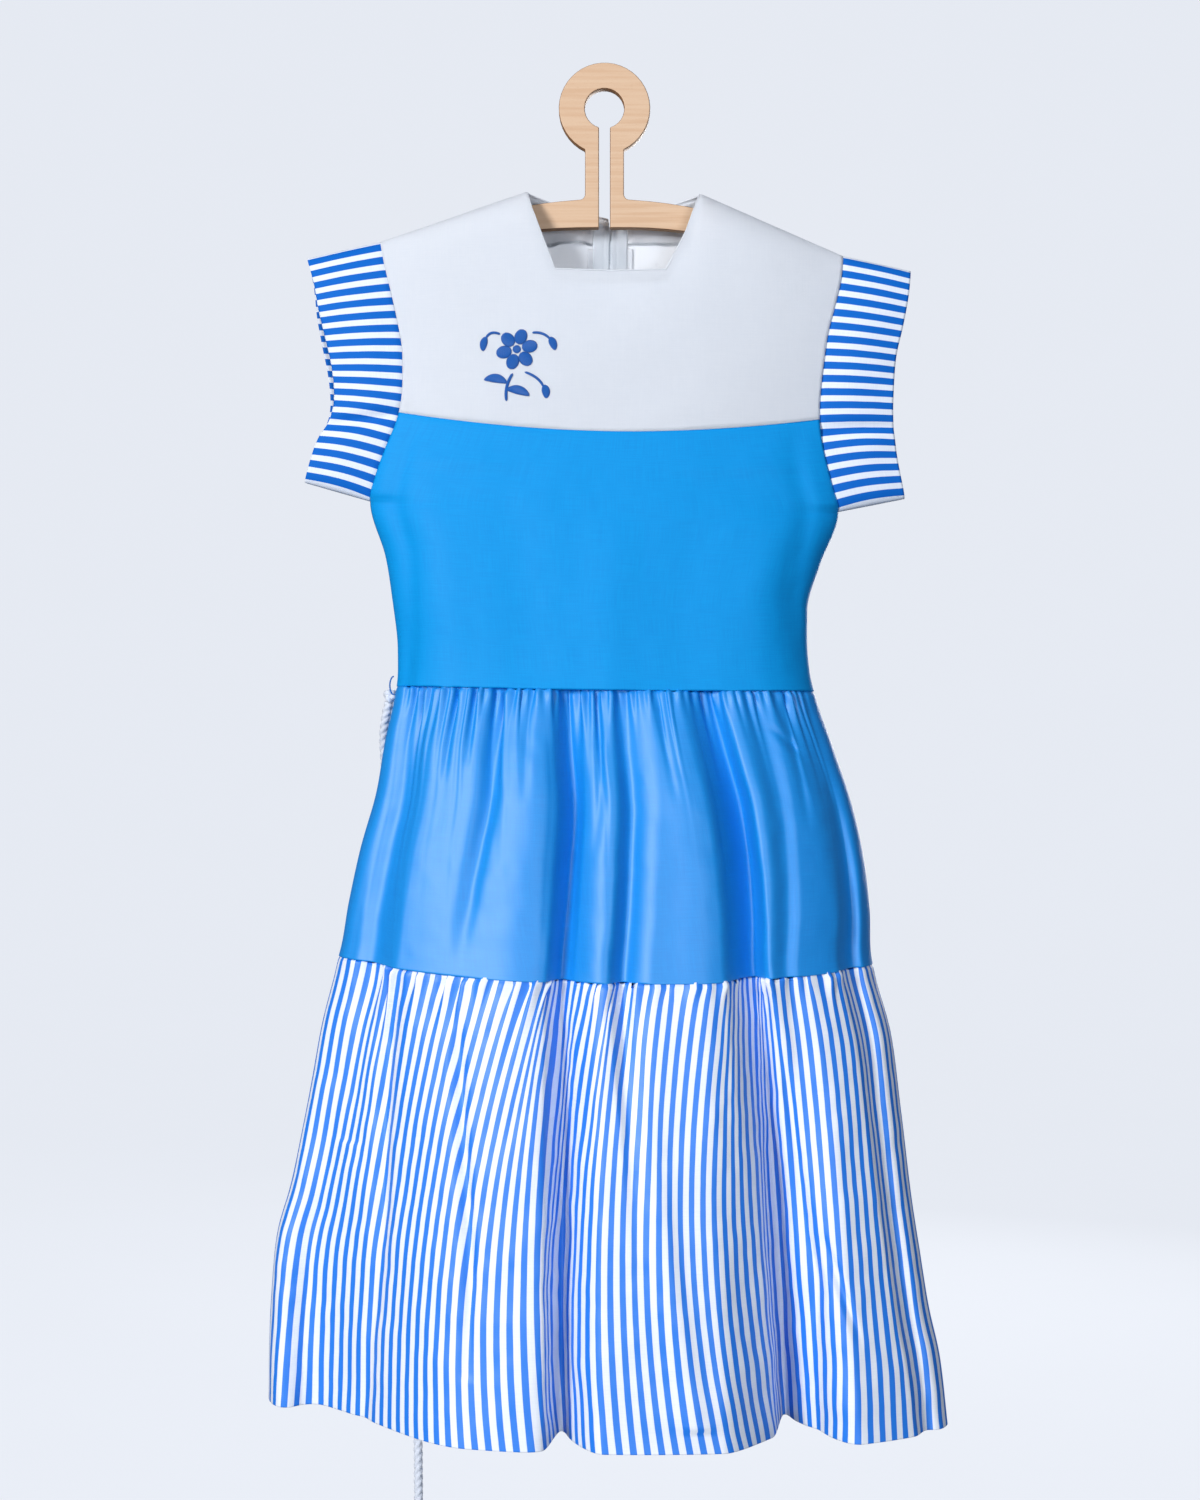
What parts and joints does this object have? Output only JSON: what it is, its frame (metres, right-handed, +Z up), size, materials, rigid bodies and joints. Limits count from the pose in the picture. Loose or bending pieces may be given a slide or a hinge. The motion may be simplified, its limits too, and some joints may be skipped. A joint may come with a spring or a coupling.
{
  "type": "dress on a wooden hanger",
  "caption": "Short-sleeved tiered dress with a white yoke, azure bodice and striped hem, hanging by its shoulders from a flat plywood hanger, with a rope belt at one side.",
  "frame": {"origin": "top of the hole in the hanger's ring, on its middle plane, where a nail or a hook carries it", "axes": "+Z up; the front of the dress faces -Y; +X is to the right of someone who faces the front"},
  "size_m": [0.5448, 0.1821, 1.1849],
  "materials": {
    "white cotton": "matt plain weave",
    "azure cotton": "matt plain weave with a slight sheen",
    "striped cotton": "matt plain weave, blue and white stripes along the garment",
    "zip tape": "matt twill tape",
    "cotton rope": "soft twisted cotton",
    "white enamelled metal": "satin enamel",
    "beech plywood": "sanded, clear satin varnish"
  },
  "bodies": {
    "dress_and_hanger": {"yoke_front": "white cotton", "yoke_back_left": "white cotton", "yoke_back_right": "white cotton", "neck_facing_left": "white cotton", "neck_facing_right": "white cotton", "bodice_front": "azure cotton", "bodice_back_left": "azure cotton", "bodice_back_right": "azure cotton", "upper_tier_front": "azure cotton", "upper_tier_back_left": "azure cotton", "upper_tier_back_right": "azure cotton", "lower_tier_front": "striped cotton", "lower_tier_back": "striped cotton", "sleeve_left": "striped cotton", "sleeve_right": "striped cotton", "zip_tape_left": "zip tape", "zip_tape_right": "zip tape", "zip_slider": "white enamelled metal", "hanger": "beech plywood", "belt_loop": "azure cotton", "belt_rope": "cotton rope", "rope_knot_top": "cotton rope", "rope_knot_end": "cotton rope"},
    "pull_tab": {"zip_pull": "white enamelled metal"}
  },
  "joints": [
    {"name": "pull_tab_hinge", "type": "hinge", "parent": "dress_and_hanger", "child": "pull_tab", "pos_m": [0.0047, 0.02645, -0.1095], "axis": [1, 0, 0], "range_deg": [0, 170]}
  ]
}
